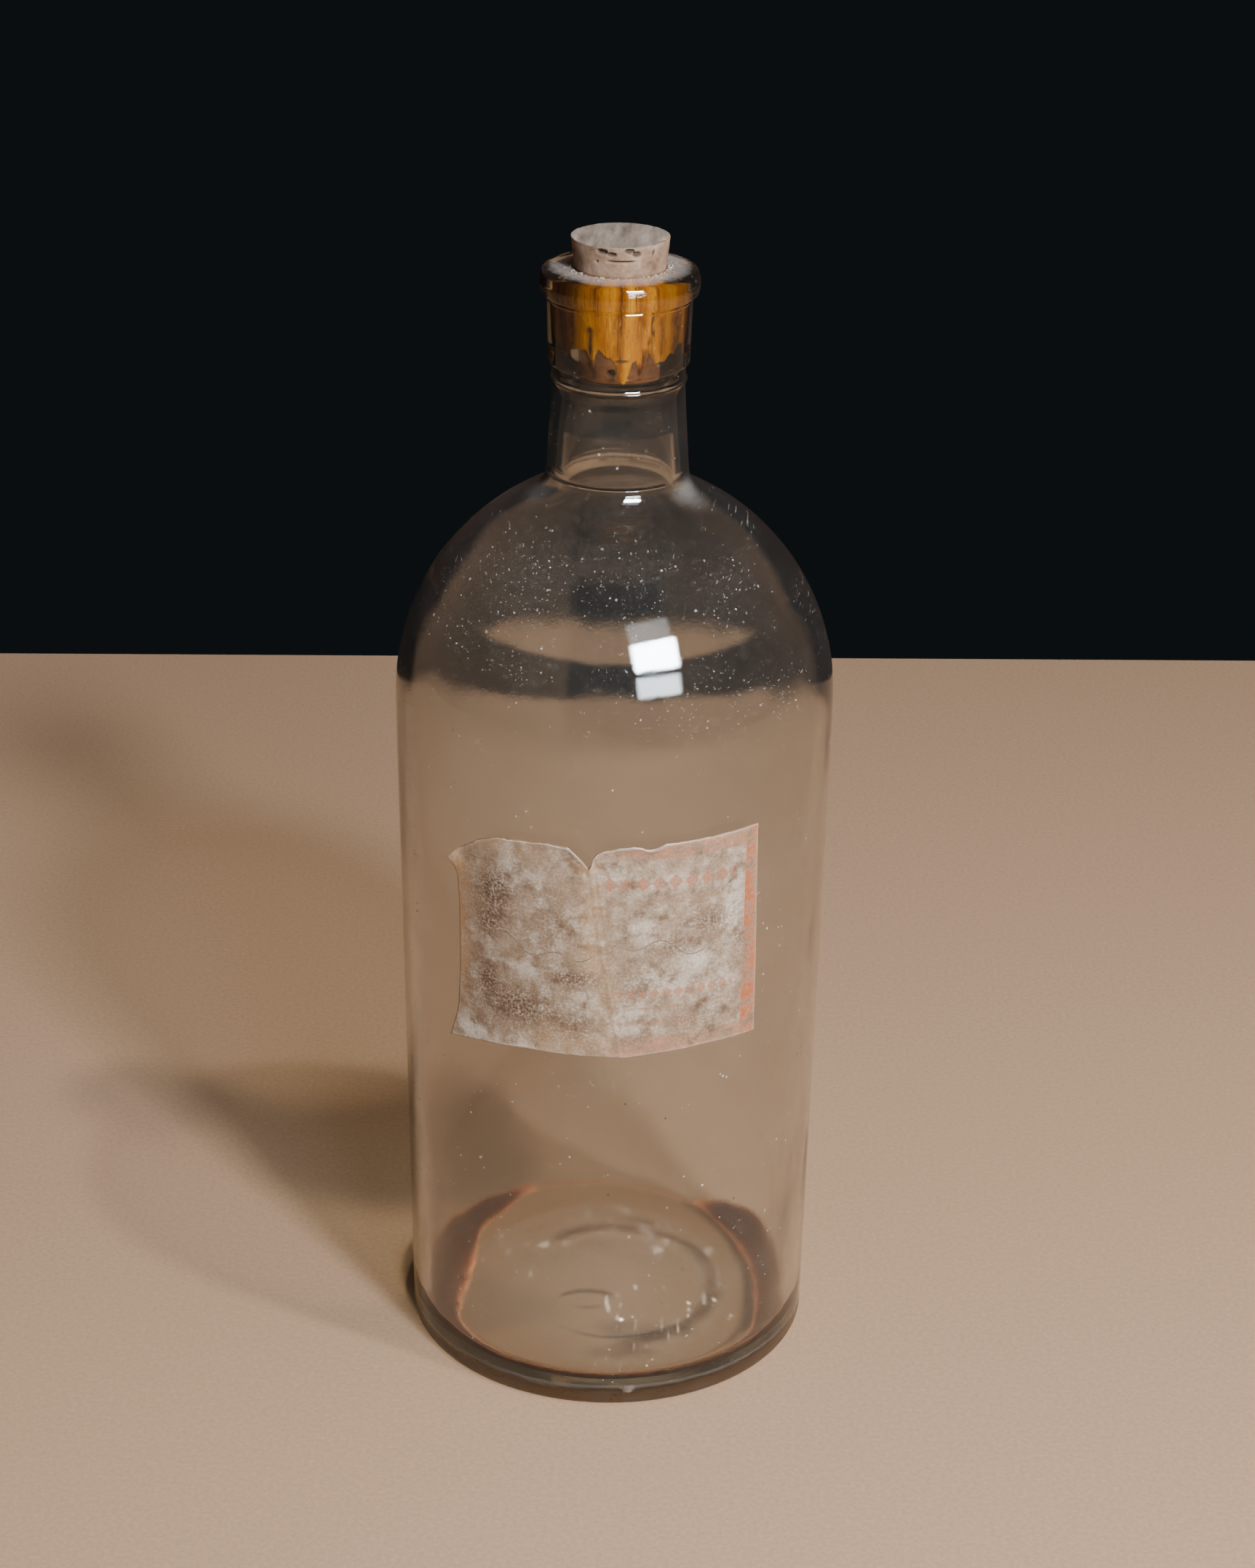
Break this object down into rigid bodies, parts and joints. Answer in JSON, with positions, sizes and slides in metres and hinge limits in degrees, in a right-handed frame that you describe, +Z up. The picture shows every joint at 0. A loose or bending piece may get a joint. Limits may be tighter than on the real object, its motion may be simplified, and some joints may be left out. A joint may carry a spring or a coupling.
{
  "type": "medicine bottle",
  "caption": "Tall round clear-glass medicine bottle with domed shoulder, collared lip, taper cork that pulls out, worn paper label without words and dried residue.",
  "frame": {"origin": "centre of the base, on the plane the bottle stands on", "axes": "+Z up the bottle's axis towards the cork, -Y out of the middle of the label"},
  "size_m": [0.1244, 0.1244, 0.3352],
  "materials": {
    "clear_glass": "gloss",
    "cork": "matte",
    "dried_paste": "satin",
    "label_paper": "matte",
    "residue": "satin"
  },
  "bodies": {
    "bottle": {"glass_bottle": "clear_glass", "label_paste": "dried_paste", "paper_label": "label_paper", "dried_residue": "residue"},
    "cork": {"cork_stopper": "cork"}
  },
  "joints": [
    {"name": "cork_pull", "type": "slide", "parent": "bottle", "child": "cork", "axis": [0, 0, 1], "range_m": [0, 0.09]}
  ]
}
